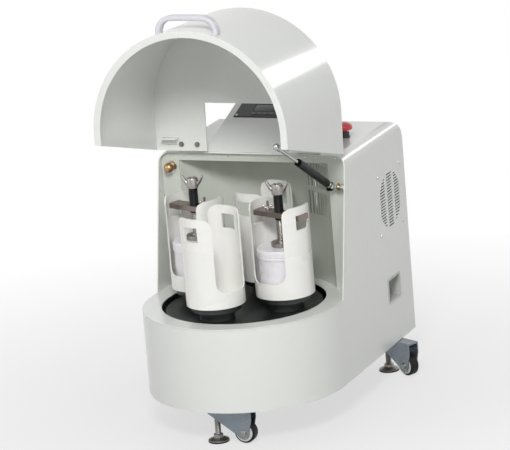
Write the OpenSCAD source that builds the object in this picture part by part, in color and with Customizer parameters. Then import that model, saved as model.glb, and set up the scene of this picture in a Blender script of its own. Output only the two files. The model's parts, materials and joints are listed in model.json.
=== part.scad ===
// Planetary ball mill: a floor standing mill with a hinged hood, four jar holders and levelling casters
// Heights are measured from the floor, and plan distances from the turntable's axis.

/* [Housing] */
// Half of the width, and the radius of the round nose
body_r = 235; // [225:1:260]
// Distance from the turntable's axis to the rear wall
rear_y = 465; // [430:1:560]
// Height of the housing's lower edge
skirt_z = 85; // [85:1:95]
// Height of the deck round the turntable
deck_z = 282; // [276:1:300]
// Height of the cabinet's top
top_z = 605; // [595:1:680]
// Thickness of the housing's wall
wall = 3; // [2:0.5:4]
// Distance from the axis to the cabinet's front at its top
front_top_y = 104; // [90:1:120]
// Distance from the axis to the front of the side walls at the deck
front_low_y = 29; // [15:1:60]
// Distance that the chamber's frame lies behind the cabinet's front
frame_set = 8; // [2:1:14]
// Radius of the long edges of the cabinet's top
shoulder_r = 28; // [15:1:45]
// Radius of the top's rear edge
rear_edge_r = 55; // [20:1:80]

/* [Chamber] */
// Radius of the hole in the deck
deck_hole_r = 190; // [187:1:195]
// Height of the chamber's mouth at its top
mouth_z = 582; // [570:1:590]
// Radius of the chamber's round wall
chamber_r = 218; // [208:1:225]
// Thickness of the chamber's sheet
sheet = 2; // [1:0.5:3]
// Number of slots in each of the two rows in the back wall
slot_count = 8; // [3:1:9]

/* [Hood] */
// Thickness of the hood's wall
lid_wall = 4; // [3:0.5:6]
// Width of the hood's turned-in rim
rim_w = 16; // [8:1:20]
// Angle that the hood stands open
lid_open = 93; // [60:1:95]
// Half of the width of the cut-out in the hood's top
notch_x = 104; // [60:1:110]
// Depth of the cut-out in the hood's top
notch_y = 112; // [40:1:130]
// Distance of each hinge from the middle
hinge_x = 148; // [140:1:160]

/* [Turntable] */
// Radius of the turntable
table_r = 182; // [178:1:185]
// Radius of the circle that the four stations lie on
station_r = 115; // [110:1:116]
// Angle of the first station
station_turn = -99; // [-135:1:-45]
// Turn of each holder against its station's radius
holder_turn = -9; // [-45:1:45]

/* [Holders] */
// Outer radius of a holder
holder_r = 68; // [60:1:68]
// Thickness of a holder's wall
holder_wall = 3.5; // [2.5:0.5:5]
// Height of a holder
holder_h = 212; // [190:1:220]
// Width of the slots between a holder's two tabs
holder_slot_w = 96; // [70:1:100]
// Height of the slots above a holder's foot
holder_slot_z = 36; // [25:1:60]
// Radius of the corners of tabs and slots
holder_corner_r = 24; // [10:1:30]
// Width of the window in each tab
window_w = 38; // [30:1:44]
// Height of the window in each tab
window_h = 34; // [20:1:40]

/* [Jars] */
// Radius of a jar
jar_r = 56; // [45:1:58]
// Height of a jar with its lid
jar_h = 105; // [85:1:110]
// Height of a jar's lid
jar_lid_h = 22; // [16:1:28]
// Radius of the clamping screw's thread
screw_r = 11; // [8:1:12]

/* [Console] */
// Half of the width of the console
console_x = 118; // [106:1:118]
// Distance from the axis to the console's rear face
console_rear_y = 345; // [320:1:360]
// Rise of the console's face, in degrees
console_rise = 18.4; // [14:0.2:20]

/* [Casters] */
// Radius of a caster's wheel
wheel_r = 25.5; // [22:0.5:26]
// Distance from a caster's foot to its wheel
wheel_reach = 70; // [64:1:80]
// Radius of a levelling foot
foot_r = 24; // [18:1:28]

/* [Hidden] */

$fn = 96;

// Small clearances
gap = 0.3;
fit = 0.05;
cut = 1;

// The origin lies on the floor under the middle of the housing, so the axis stands forward of it
axis_y = (body_r - rear_y) / 2;

// Colours
paint = "#eceee9";
inside_paint = "#dfe3dc";
black = "#1c1c1e";
steel = "#a9abad";
dark_steel = "#5b5c5e";
brass = "#b98f4a";
red = "#c8202c";
grey_plastic = "#c9c5c8";
tyre_black = "#202020";

// Hood and hinge
lid_gap = 1.7;
hinge_barrel_r = 4;
hinge_pin_r = 2;
leaf_t = 2;
leaf_w = 58;
hinge_y = front_top_y - 3;
hinge_z = top_z + 0.2 + hinge_barrel_r;
lid_low_z = deck_z + lid_gap;

// Chamber and its frame
frame_y = front_top_y + frame_set;
mouth_x = sqrt(chamber_r * chamber_r - frame_y * frame_y);
ceiling_z = mouth_z + 2;
slot_w = 4;
slot_pitch = 3.1;
slot_first = 62;
slot_rows = [[508, 56], [441, 54]];

// Turntable and spindles, from the deck down
table_top_z = deck_z - 10;
table_t = 8;
hub_r = 40;
boss_r = 30;
boss_h = 26;
hub_low_z = table_top_z - table_t - boss_h;
shaft_r = 15;
spindle_r = 10;
bearing_r = 18;
seat_r = 58;
seat_z = table_top_z + 38;
sun_r = 66;
planet_r = sun_r / 3;
belt_t = 3;
belt_w = 8;
belt_pitch = 12;
flange_h = 4;
column_r = 34;
column_bore_r = 26;
sun_top_z = hub_low_z - 4;
sun_low_z = sun_top_z - 4 * belt_pitch;

// Floor of the machine and the drive under it
base_z = skirt_z + 3;
base_t = 6;
pulley_z = base_z + base_t + 10;
pulley_h = 18;
drive_r = 80;
motor_r = 32;
motor_y = 310;
motor_body_r = 72;
motor_h = 190;
support_z = pulley_z + pulley_h + 8;
support_t = 8;

// Fan and pocket in the right side wall
fan_y = 361;
fan_z = 432;
grille_r = 68;
fan_screw = 71;
pocket_y = 346;
pocket_z = 219;
pocket_w = 74;
pocket_h = 54;
pocket_depth = 30;

// Gas strut, with both of its joints beside the right wall
strut_x = 200;
strut_low = [94, 532];
strut_high = [-200, 700];
strut_head_r = 8;
strut_tube_end = 209;
ball_r = 8;
strut_len = norm(strut_high - strut_low);
strut_angle = atan2(strut_high[1] - strut_low[1], strut_high[0] - strut_low[0]);

// Emergency stop and speed knob
estop = [170, 266];
estop_neck_r = 12;
estop_cap_r = 20;
knob_r = 14;

// Casters: place of the foot and direction of the wheel
casters = [[[-10, -180], 0], [[192, 383], -26], [[-192, 383], 206]];
wheel_w = 24;
caster_plate_w = 74;
caster_plate_t = 4;
sleeve_r = 12;
foot_stem_r = 6;
fork_top_z = base_z - caster_plate_t - gap;
wheel_z = wheel_r + 1.5;
foot_pad_h = 10;

function station(k) = station_turn + 90 * (k - 1);
function level_z(k) = sun_low_z + belt_pitch * (k - 0.5);
function front_y(z) = front_low_y + (front_top_y - front_low_y) * (z - deck_z) / (top_z - deck_z);
function console_y0() = front_top_y + 3;
function console_z(y) = top_z + (y - front_top_y) * tan(console_rise);

// Puts children that are drawn round the turntable's axis into the part's own frame
module at_axis() {
    translate([0, axis_y, 0]) children();
}

// Extrudes an outline of (y, z) points along X
module along_x(w) {
    rotate([90, 0, 90]) linear_extrude(w, center = true) children();
}

// Extrudes an outline of (x, z) points along Y
module along_y(y0, y1) {
    translate([0, y1, 0]) rotate([90, 0, 0]) linear_extrude(y1 - y0) children();
}

// Turns children about the hood's hinge from closed to open
module opened() {
    translate([0, hinge_y, hinge_z])
        rotate([-lid_open, 0, 0])
            translate([0, -hinge_y, -hinge_z]) children();
}

// Places children at station k, turned with its holder
module at_station(k, turn = 0) {
    rotate(station(k)) translate([station_r, 0, 0]) rotate(turn) children();
}

// A square corner with a round inside, for rounding outlines
module corner(r) {
    difference() {
        square(r + cut);
        circle(r);
    }
}

// Outline of the housing in plan: a half round nose and straight sides
module plan(r, back_y) {
    circle(r);
    translate([-r, 0]) square([2 * r, back_y]);
}

// Side outline of nose and cabinet
module side_outline() {
    polygon([
        [-body_r - cut, skirt_z],
        [-body_r - cut, deck_z - wall],
        [front_low_y, deck_z - wall],
        [front_top_y, top_z],
        [rear_y, top_z],
        [rear_y, skirt_z]
    ]);
}

// Side outline of the round rear edge that is taken off the top, drawn in by the wall
module rear_corner(t) {
    translate([rear_y - rear_edge_r, top_z - rear_edge_r]) corner(rear_edge_r - t);
}

// Front outline of the cabinet with its round shoulders, drawn in by the wall
module front_outline(t) {
    x = body_r - t;
    z = top_z - t;
    difference() {
        translate([-x, skirt_z - cut]) square([2 * x, z - skirt_z + cut]);
        for (side = [-1, 1])
            scale([side, 1])
                translate([body_r - shoulder_r, top_z - shoulder_r]) corner(shoulder_r - t);
    }
}

module shell_solid() {
    intersection() {
        translate([0, 0, skirt_z - cut]) linear_extrude(top_z) plan(body_r, rear_y);
        along_x(2 * body_r + 4) difference() {
            side_outline();
            rear_corner(0);
        }
        along_y(-body_r - cut, rear_y + cut) front_outline(0);
    }
}

// Hollow of the housing: the nose up to the deck, and the cabinet with its open front
module shell_hollow() {
    translate([0, 0, skirt_z - cut]) linear_extrude(deck_z - skirt_z) plan(body_r - wall, front_low_y / 2);
    difference() {
        along_y(cut, rear_y - wall) front_outline(wall);
        along_x(2 * body_r + 4) rear_corner(wall);
    }
}

// Rows of short slots inside a circle, through the right wall
module grille() {
    rows = 19;
    pitch = 2 * (grille_r - 6) / (rows - 1);
    for (i = [0 : rows - 1]) {
        z = -grille_r + 6 + i * pitch;
        half = sqrt(grille_r * grille_r - z * z);
        for (c = [-1, 0, 1])
            intersection() {
                translate([body_r - wall - cut, c * grille_r * 0.667 - 17, z - 1.7])
                    cube([wall + 2 * cut, 34, 3.4]);
                translate([body_r, -half, z - 2]) translate([-wall - cut, 0, 0])
                    cube([wall + 2 * cut, 2 * half, 4]);
            }
    }
}

module rear_opening() {
    translate([-150, rear_y - wall - cut, 170]) cube([300, wall + 2 * cut, 330]);
}

module housing() {
    color(paint) at_axis() difference() {
        shell_solid();
        shell_hollow();
        translate([0, fan_y, fan_z]) grille();
        for (dy = [-fan_screw, fan_screw], dz = [-fan_screw, fan_screw])
            translate([body_r - wall - cut, fan_y + dy, fan_z + dz])
                rotate([0, 90, 0]) cylinder(r = 2.2, h = wall + 2 * cut);
        translate([body_r - wall - cut, pocket_y - pocket_w / 2, pocket_z - pocket_h / 2])
            cube([wall + 2 * cut, pocket_w, pocket_h]);
        translate([estop[0], estop[1], top_z - wall - cut]) cylinder(r = 11, h = wall + 2 * cut);
        translate([-console_x + 12, front_top_y + 60, top_z - wall - cut])
            cube([2 * console_x - 24, console_rear_y - front_top_y - 80, wall + 2 * cut]);
        rear_opening();
    }
}

// Cover of the rear opening, with two rows of upright slots
module rear_panel() {
    color(paint) at_axis() difference() {
        translate([-162, rear_y, 158]) cube([324, 2, 354]);
        for (i = [0 : 11], z = [220, 380])
            translate([-120 + i * 20, rear_y - cut, z]) cube([5, 2 + 2 * cut, 80]);
    }
}

// Top of the nose and floor of the chamber, round the turntable
module deck_plate() {
    inner_r = body_r - wall - gap;
    color(paint) at_axis() difference() {
        union() {
            translate([0, 0, deck_z - wall])
                linear_extrude(wall) intersection() {
                    plan(body_r, front_low_y);
                    translate([-body_r, -body_r]) square([2 * body_r, body_r + front_low_y - gap]);
                }
            translate([-inner_r, 0, deck_z - wall])
                cube([2 * inner_r, chamber_r + 6, wall]);
        }
        translate([0, 0, deck_z - wall - cut]) cylinder(r = deck_hole_r, h = wall + 2 * cut);
    }
}

// Folded sheet of the chamber: front frame, side walls, ceiling and slotted back wall
module chamber_liner() {
    low = deck_z + gap;
    frame_x = body_r - wall - gap;
    frame_top = top_z - wall - gap;
    color(inside_paint) at_axis() difference() {
        union() {
            intersection() {
                along_y(frame_y, frame_y + sheet) front_outline(wall + gap);
                translate([-frame_x, frame_y - cut, low])
                    cube([2 * frame_x, sheet + 2 * cut, frame_top - low + cut]);
            }
            intersection() {
                translate([0, 0, low]) cylinder(r = chamber_r + sheet, h = ceiling_z + sheet - low);
                translate([-chamber_r - 2 * sheet, frame_y, low - cut])
                    cube([2 * chamber_r + 4 * sheet, chamber_r + 2 * sheet, top_z]);
            }
        }
        intersection() {
            translate([0, 0, low - cut]) cylinder(r = chamber_r, h = ceiling_z - low + cut);
            translate([-chamber_r, frame_y + sheet, low - 2 * cut])
                cube([2 * chamber_r, chamber_r, top_z]);
        }
        translate([-mouth_x, frame_y - cut, low - cut])
            cube([2 * mouth_x, sheet + 2 * cut, mouth_z - low + cut]);
        for (row = slot_rows, i = [0 : slot_count - 1])
            rotate(slot_first - i * slot_pitch) translate([chamber_r - cut, -slot_w / 2, row[0]])
                cube([sheet + 2 * cut, slot_w, row[1]]);
    }
}

// Wedge on the cabinet's top that carries the drive unit's face
module console() {
    y0 = console_y0();
    color(paint) at_axis() difference() {
        along_x(2 * console_x) polygon([
            [y0, top_z],
            [y0, console_z(y0)],
            [console_rear_y - 6, console_z(console_rear_y - 6)],
            [console_rear_y, console_z(console_rear_y - 6) - 4],
            [console_rear_y, top_z]
        ]);
        along_x(2 * console_x - 2 * wall) polygon([
            [y0 + wall, top_z - cut],
            [y0 + wall, console_z(y0 + wall) - wall],
            [console_rear_y - wall, console_z(console_rear_y - 6) - 4 - wall],
            [console_rear_y - wall, top_z - cut]
        ]);
        on_face() translate([-panel_x - gap, -panel_l / 2 - gap, -20])
            cube([2 * panel_x + 2 * gap, panel_l + 2 * gap, 40]);
    }
}

// The drive unit's panel on the console's face
panel_x = 100;
panel_l = 76;
panel_mid_y = 284;

module on_face() {
    translate([0, panel_mid_y, console_z(panel_mid_y)]) rotate([console_rise, 0, 0]) children();
}

module drive_unit() {
    color(black) at_axis() difference() {
        union() {
            on_face() translate([-panel_x, -panel_l / 2, -wall - 1]) cube([2 * panel_x, panel_l, wall + 3]);
            on_face() translate([-70, -panel_l / 2 + 6, -40]) cube([140, panel_l - 12, 40]);
        }
        on_face() translate([60, -4, -10]) cylinder(r = 3.05, h = 20);
        on_face() translate([-60, -14, 1]) cube([72, 30, 2]);
    }
}

module speed_knob() {
    color(dark_steel) at_axis() on_face() translate([60, -4, 0]) difference() {
        union() {
            translate([0, 0, -8]) cylinder(r = 3, h = 12);
            translate([0, 0, 2.3]) cylinder(r = knob_r, h = 4);
            translate([0, 0, 6.3]) cylinder(r = knob_r - 2, h = 10);
        }
        translate([-1, 4, 15.3]) cube([2, knob_r, 2]);
    }
}

// Steel floor of the machine
module base_plate() {
    color(dark_steel) at_axis() difference() {
        translate([0, 0, base_z]) linear_extrude(base_t) plan(body_r - wall - gap, rear_y - wall - gap);
        for (c = casters)
            translate([c[0][0], c[0][1], base_z - cut]) cylinder(r = foot_stem_r + 2, h = base_t + 2 * cut);
    }
}

// Raised plate on six posts that carries the column and the motor
module support_plate() {
    color(dark_steel) at_axis() difference() {
        union() {
            translate([-130, -110, support_z]) cube([260, motor_y + 200, support_t]);
            for (x = [-118, 118], y = [-95, 140, motor_y + 70])
                translate([x, y, base_z + base_t]) cylinder(r = 10, h = support_z - base_z - base_t + cut);
        }
        translate([0, 0, support_z - cut]) cylinder(r = column_bore_r, h = support_t + 2 * cut);
        translate([0, motor_y, support_z - cut]) cylinder(r = 18, h = support_t + 2 * cut);
    }
}

// Fixed column round the main shaft, with a bearing at each end
module column() {
    low = support_z + support_t;
    color(steel) at_axis() difference() {
        union() {
            translate([0, 0, low]) cylinder(r = column_r + 26, h = 10);
            translate([0, 0, low]) cylinder(r = column_r, h = sun_top_z - low);
        }
        translate([0, 0, low - cut]) cylinder(r = column_bore_r, h = sun_top_z);
        for (a = [45 : 90 : 315])
            rotate(a) translate([column_r + 15, 0, low - cut]) cylinder(r = 4.5, h = 12);
    }
    color(steel) at_axis()
        for (z = [low + 4, sun_top_z - 22])
            translate([0, 0, z]) bearing(shaft_r + fit, column_bore_r, 16);
}

module bearing(inner, outer, h) {
    difference() {
        cylinder(r = outer, h = h);
        translate([0, 0, -cut]) cylinder(r = inner, h = h + 2 * cut);
        for (z = [-cut, h - 1.5])
            translate([0, 0, z]) difference() {
                cylinder(r = outer - 2.5, h = 1.5 + cut);
                translate([0, 0, -cut]) cylinder(r = inner + 2, h = 4);
            }
    }
}

// Grooved pulley for flat toothed belts: n grooves one above the other
module pulley(r, bore, n) {
    difference() {
        union() {
            cylinder(r = r, h = n * belt_pitch);
            for (i = [0 : n])
                translate([0, 0, max(0, i * belt_pitch - 1)])
                    cylinder(r = r + flange_h, h = (i == 0 || i == n) ? 1 : 2);
        }
        translate([0, 0, -cut]) cylinder(r = bore, h = n * belt_pitch + 2 * cut);
    }
}

// Fixed pulley that the four planet belts run round
module sun_pulley() {
    color(steel) at_axis() translate([0, 0, sun_low_z]) pulley(sun_r, column_r, 4);
}

// Outline of a belt's face round two pulleys at distance d, each bend as a row of flats
module belt_outline(r1, r2, d) {
    b = acos((r1 - r2) / d);
    polygon(concat(
        [for (i = [0 : 24]) let(a = b + (360 - 2 * b) * i / 24) [r1 * cos(a), r1 * sin(a)]],
        [for (i = [0 : 14]) let(a = -b + 2 * b * i / 14) [d + r2 * cos(a), r2 * sin(a)]]
    ));
}

// Loop of belt round two pulleys at distance d
module belt(r1, r2, d, w) {
    difference() {
        linear_extrude(w) belt_outline(r1 + gap + belt_t, r2 + gap + belt_t, d);
        translate([0, 0, -cut]) linear_extrude(w + 2 * cut) belt_outline(r1 + gap, r2 + gap, d);
    }
}

module planet_belts() {
    color(black) at_axis() for (k = [1 : 4])
        rotate(station(k)) translate([0, 0, level_z(k) - belt_w / 2])
            belt(sun_r, planet_r, station_r, belt_w);
}

module drive_belt() {
    color(black) at_axis() translate([0, 0, pulley_z + 2]) rotate(90)
        belt(drive_r, motor_r, motor_y, pulley_h - 4);
}

module wide_pulley(r, bore) {
    difference() {
        union() {
            cylinder(r = r, h = pulley_h);
            cylinder(r = r + flange_h, h = 1.5);
            translate([0, 0, pulley_h - 1.5]) cylinder(r = r + flange_h, h = 1.5);
        }
        translate([0, 0, -cut]) cylinder(r = bore, h = pulley_h + 2 * cut);
    }
}

module motor_pulley() {
    color(steel) at_axis() translate([0, motor_y, pulley_z]) {
        wide_pulley(motor_r, 9);
        translate([0, 0, 1]) cylinder(r = 9, h = support_z + support_t - pulley_z + 12);
    }
}

// Upright motor with its flange, fan cowl and terminal box
module motor() {
    low = support_z + support_t;
    color(dark_steel) at_axis() translate([0, motor_y, low]) difference() {
        union() {
            cylinder(r = motor_body_r + 8, h = 12);
            cylinder(r = motor_body_r, h = motor_h - 40);
            translate([0, 0, motor_h - 40 - cut]) cylinder(r = motor_body_r - 3, h = 41);
            translate([-45, motor_body_r - 20, 60]) cube([90, 45, 70]);
        }
        translate([0, 0, -cut]) cylinder(r = 9 + 0.5, h = 40);
        for (i = [0 : 17])
            rotate(i * 20 + 10) translate([motor_body_r - 4, -2, 20]) cube([6, 4, motor_h - 70]);
    }
}

module fan_frame() {
    half = fan_screw + 7;
    color(black) at_axis() translate([body_r - wall - gap, fan_y, fan_z]) rotate([0, -90, 0]) difference() {
        union() {
            difference() {
                translate([-half, -half, 0]) cube([2 * half, 2 * half, 38]);
                translate([0, 0, -cut]) cylinder(r = grille_r + 4, h = 38 + 2 * cut);
            }
            translate([0, 0, 30]) cylinder(r = 22, h = 8);
            for (a = [0 : 90 : 270])
                rotate(a + 45) translate([18, -4, 33]) cube([grille_r - 10, 8, 5]);
        }
        for (dy = [-fan_screw, fan_screw], dz = [-fan_screw, fan_screw])
            translate([dz, dy, -cut]) cylinder(r = 2.2, h = 38 + 2 * cut);
        translate([0, 0, 20]) cylinder(r = 3 + fit, h = 15);
    }
}

module fan_rotor() {
    color(black) at_axis() translate([body_r - wall - gap, fan_y, fan_z]) rotate([0, -90, 0]) {
        translate([0, 0, 6]) cylinder(r = 24, h = 22);
        translate([0, 0, 27]) cylinder(r = 3, h = 7);
        for (a = [0 : 360 / 7 : 359])
            rotate(a) translate([22, 0, 17]) rotate([35, 0, 0]) translate([0, -12, -1])
                cube([grille_r - 26, 24, 2]);
    }
}

// Moulded pocket in the right wall with the mains inlet on its front inner face
module mains_pocket() {
    w = pocket_w - 2 * gap;
    h = pocket_h - 2 * gap;
    color(inside_paint) at_axis() translate([body_r, pocket_y, pocket_z]) difference() {
        union() {
            translate([-pocket_depth, -w / 2, -h / 2]) cube([pocket_depth + 0.8, w, h]);
            translate([0.3, -w / 2 - 3, -h / 2 - 3]) cube([1.2, w + 6, h + 6]);
        }
        translate([-pocket_depth + 2, -w / 2 + 2, -h / 2 + 2]) cube([pocket_depth + 2, w - 4, h - 4]);
    }
    color(black) at_axis() translate([body_r - pocket_depth + 2, pocket_y - w / 2 + 4, pocket_z]) difference() {
        translate([0, 0, -14]) cube([14, 30, 28]);
        translate([4, 4, -10]) cube([14, 22, 20]);
    }
}

// Hinge barrels fixed to the cabinet, each with its leaf and pin
module hinge_leaves() {
    color(steel) at_axis() for (x = [-hinge_x, hinge_x]) {
        translate([x, 0, 0]) difference() {
            union() {
                translate([-leaf_w / 2, hinge_y, top_z]) cube([leaf_w, 20, leaf_t]);
                translate([-leaf_w / 2, hinge_y, hinge_z]) rotate([0, 90, 0])
                    cylinder(r = hinge_barrel_r, h = leaf_w);
            }
            translate([-leaf_w / 6 - gap, hinge_y - 6, top_z - cut]) cube([leaf_w / 3 + 2 * gap, 11, 12]);
            for (dx = [-20, 20])
                translate([dx, hinge_y + 12, top_z - cut]) cylinder(r = 2.2, h = 4);
        }
        translate([x - leaf_w / 2 + 2, hinge_y, hinge_z]) rotate([0, 90, 0])
            cylinder(r = hinge_pin_r, h = leaf_w - 4);
    }
}

module lid_hinge_leaves() {
    color(steel) at_axis() opened() for (x = [-hinge_x, hinge_x])
        translate([x, 0, 0]) difference() {
            union() {
                translate([-leaf_w / 2, hinge_y - 26, top_z + 0.2]) cube([leaf_w, 21, leaf_t]);
                translate([-leaf_w / 6, hinge_y - 8, top_z + 0.2]) cube([leaf_w / 3, 8, leaf_t]);
                translate([-leaf_w / 6, hinge_y, hinge_z]) rotate([0, 90, 0])
                    cylinder(r = hinge_barrel_r, h = leaf_w / 3);
            }
            translate([-leaf_w, hinge_y, hinge_z]) rotate([0, 90, 0])
                cylinder(r = hinge_pin_r + fit, h = 2 * leaf_w);
            for (dx = [-20, 20])
                translate([dx, hinge_y - 15, top_z - cut]) cylinder(r = 2.2, h = 6);
        }
}

// Closed side outline of the hood, drawn in by t
module lid_outline(t) {
    polygon([
        [-body_r - cut, lid_low_z - (t > 0 ? cut : 0)],
        [-body_r - cut, top_z - t],
        [front_y(top_z) - 2 + t, top_z - t],
        [front_y(lid_low_z) - 2 + t, lid_low_z - (t > 0 ? cut : 0)]
    ]);
}

// Hood over the jars: a round wall, a flat top with a cut-out, and a turned-in rim
module lid_shell() {
    color(paint) at_axis() opened() difference() {
        union() {
            difference() {
                intersection() {
                    translate([0, 0, lid_low_z]) linear_extrude(top_z) plan(body_r, front_top_y);
                    along_x(2 * body_r + 4) lid_outline(0);
                }
                translate([0, 0, lid_low_z - cut])
                    linear_extrude(top_z - lid_wall - lid_low_z + cut) plan(body_r - lid_wall, front_top_y + 2);
            }
            intersection() {
                translate([0, 0, lid_low_z]) linear_extrude(5) difference() {
                    plan(body_r - 1, front_low_y);
                    plan(body_r - rim_w, front_low_y + cut);
                }
                along_x(2 * body_r + 4) lid_outline(0);
            }
        }
        translate([-notch_x, hinge_y - 2 - notch_y, top_z - lid_wall - cut])
            cube([2 * notch_x, notch_y + 10, lid_wall + 2 * cut]);
        for (x = [-hinge_x, hinge_x], dx = [-20, 20])
            translate([x + dx, hinge_y - 15, top_z - lid_wall - cut]) cylinder(r = 2.2, h = lid_wall + 2 * cut);
    }
}

// Arched pull on the hood's nose
module lid_handle() {
    z0 = lid_low_z + 14;
    color(grey_plastic) at_axis() opened() translate([0, 0, z0]) linear_extrude(24) difference() {
        hull() {
            for (x = [-1, 1]) {
                translate([x * 66, -222]) circle(10, $fn = 48);
                translate([x * 48, -260]) circle(20, $fn = 48);
            }
        }
        hull() {
            for (x = [-1, 1]) {
                translate([x * 55, -222]) circle(8, $fn = 48);
                translate([x * 44, -253]) circle(12, $fn = 48);
            }
        }
        circle(body_r);
    }
}

// Rounded stud along X, from the wall at x1 to the strut's plane
module wall_stud(x1, reach, r) {
    translate([x1, 0, 0]) rotate([0, -90, 0]) {
        cylinder(r = r, h = x1 - strut_x - reach);
        cylinder(r = 8, h = 6);
    }
}

module cabinet_strut_stud() {
    color(steel) at_axis() translate([0, strut_low[0], strut_low[1]]) {
        wall_stud(body_r - wall, 0, 4);
        translate([strut_x, 0, 0]) rotate([0, -90, 0]) sphere(6);
    }
}

module lid_strut_stud() {
    color(steel) at_axis() translate([0, strut_high[0], strut_high[1]])
        wall_stud(body_r - lid_wall, strut_head_r + 2 * gap, 5);
}

// Dome-headed stud on the left, where a second strut would go
module spare_stud() {
    color(brass) at_axis() translate([-mouth_x - 21, frame_y, 566]) rotate([90, 0, 0]) {
        cylinder(r = 9, h = 8);
        translate([0, 0, 13]) sphere(12);
    }
}

// Lies along +Y from the strut's lower joint at rest, in the strut's own plane
module along_strut() {
    translate([strut_x, strut_low[0], strut_low[1]]) rotate([strut_angle, 0, 0]) children();
}

module strut_cylinder() {
    color(black) at_axis() along_strut() difference() {
        union() {
            translate([0, 8, 0]) rotate([-90, 0, 0]) cylinder(r = 5, h = 24);
            translate([0, 30, 0]) rotate([-90, 0, 0]) cylinder(r = 9, h = strut_tube_end - 30);
            rotate([0, -90, 0]) translate([0, 0, -1]) cylinder(r = 10.5, h = 10);
        }
        sphere(6 + gap);
        translate([6, 0, 0]) rotate([0, 90, 0]) translate([0, 0, -6]) cylinder(r = 6 + gap, h = 8);
        translate([0, 34, 0]) rotate([-90, 0, 0]) cylinder(r = 4 + fit, h = strut_tube_end - 34 + cut);
    }
}

module strut_rod() {
    color(steel) at_axis() along_strut() {
        translate([0, 146, 0]) rotate([-90, 0, 0]) cylinder(r = 4, h = strut_len - 146);
        translate([0, strut_len - 20, 0]) rotate([-90, 0, 0]) cylinder(r = 6, h = 16);
        translate([0, strut_len, 0]) sphere(strut_head_r);
    }
}

module estop_collar() {
    color(black) at_axis() translate([estop[0], estop[1], 0]) difference() {
        union() {
            translate([0, 0, top_z + 0.1]) cylinder(r = estop_neck_r + 2, h = 3);
            translate([0, 0, top_z + 0.1]) cylinder(r = estop_neck_r, h = 13);
            translate([0, 0, top_z - 30]) cylinder(r = 10.5, h = 31);
        }
        translate([0, 0, top_z - 20]) cylinder(r = 7 + fit, h = 40);
    }
}

module estop_button() {
    color(red) at_axis() translate([estop[0], estop[1], 0]) {
        translate([0, 0, top_z - 12]) cylinder(r = 7, h = 34);
        translate([0, 0, top_z + 19]) rotate_extrude() intersection() {
            translate([0, -11]) circle(28);
            square([estop_cap_r, 17]);
        }
    }
}

// Black turntable with its hub and the four bearing bosses
module turntable_disc() {
    color(black) at_axis() difference() {
        union() {
            translate([0, 0, table_top_z - table_t]) cylinder(r = table_r, h = table_t);
            translate([0, 0, hub_low_z]) cylinder(r = hub_r, h = boss_h + cut);
            for (k = [1 : 4])
                at_station(k) translate([0, 0, hub_low_z]) cylinder(r = boss_r, h = boss_h + cut);
        }
        translate([0, 0, hub_low_z - cut]) cylinder(r = shaft_r, h = boss_h - 2);
        for (k = [1 : 4])
            at_station(k) translate([0, 0, hub_low_z - cut]) {
                cylinder(r = bearing_r, h = boss_h - 1);
                cylinder(r = spindle_r + 2, h = 60);
            }
    }
}

// Upright shaft under the turntable, with the driven pulley near its foot
module main_shaft() {
    color(steel) at_axis() {
        translate([0, 0, pulley_z - 4])
            cylinder(r = shaft_r, h = hub_low_z + boss_h - 3 - pulley_z + 4);
        translate([0, 0, pulley_z]) wide_pulley(drive_r, shaft_r - cut);
    }
}

module planet_bearings() {
    color(steel) at_axis() for (k = [1 : 4])
        at_station(k) translate([0, 0, hub_low_z + 4]) bearing(spindle_r + fit, bearing_r, 18);
}

// Spindle of station k with its black seat above the turntable and its pulley below
module spindle(k) {
    color(black) at_axis() at_station(k) {
        translate([0, 0, seat_z - 14]) cylinder(r = seat_r, h = 14);
        translate([0, 0, table_top_z + 1]) cylinder(r = 40, h = seat_z - table_top_z - 14);
        translate([0, 0, sun_low_z - 4]) cylinder(r = spindle_r, h = table_top_z - sun_low_z + 6);
        translate([0, 0, level_z(k) - belt_pitch / 2]) pulley(planet_r, spindle_r, 1);
    }
}

// Cup with two tall tabs, two slots between them and a window near the top of each tab
module holder(k) {
    slot_h = holder_h - holder_slot_z;
    tab_half = sqrt(holder_r * holder_r - holder_slot_w * holder_slot_w / 4);
    color(paint) at_axis() at_station(k, holder_turn) translate([0, 0, seat_z]) difference() {
        cylinder(r = holder_r, h = holder_h);
        translate([0, 0, 6]) cylinder(r = holder_r - holder_wall, h = holder_h);
        along_y(-holder_r - cut, holder_r + cut) difference() {
            translate([-holder_slot_w / 2, holder_slot_z]) square([holder_slot_w, slot_h + cut]);
            for (side = [-1, 1])
                scale([side, 1])
                    translate([holder_slot_w / 2 - holder_corner_r, holder_slot_z + holder_corner_r])
                        mirror([0, 1]) corner(holder_corner_r);
        }
        along_x(2 * holder_r + 4) for (side = [-1, 1])
            scale([side, 1])
                translate([tab_half - holder_corner_r, holder_h - holder_corner_r])
                    corner(holder_corner_r);
        translate([-holder_r - cut, -window_w / 2, window_z() - seat_z])
            cube([2 * holder_r + 2 * cut, window_w, window_h]);
    }
}

function window_z() = seat_z + holder_h - 20 - window_h;
function bar_top() = window_z() + window_h - gap;
bar_t = 12;
bar_w = 32;

// Grinding jar that stands in holder k
module jar(k) {
    color(paint) at_axis() at_station(k, holder_turn) translate([0, 0, seat_z + 6]) difference() {
        cylinder(r = jar_r, h = jar_h - jar_lid_h);
        translate([0, 0, 8]) cylinder(r = jar_r - 9, h = jar_h);
    }
}

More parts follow.
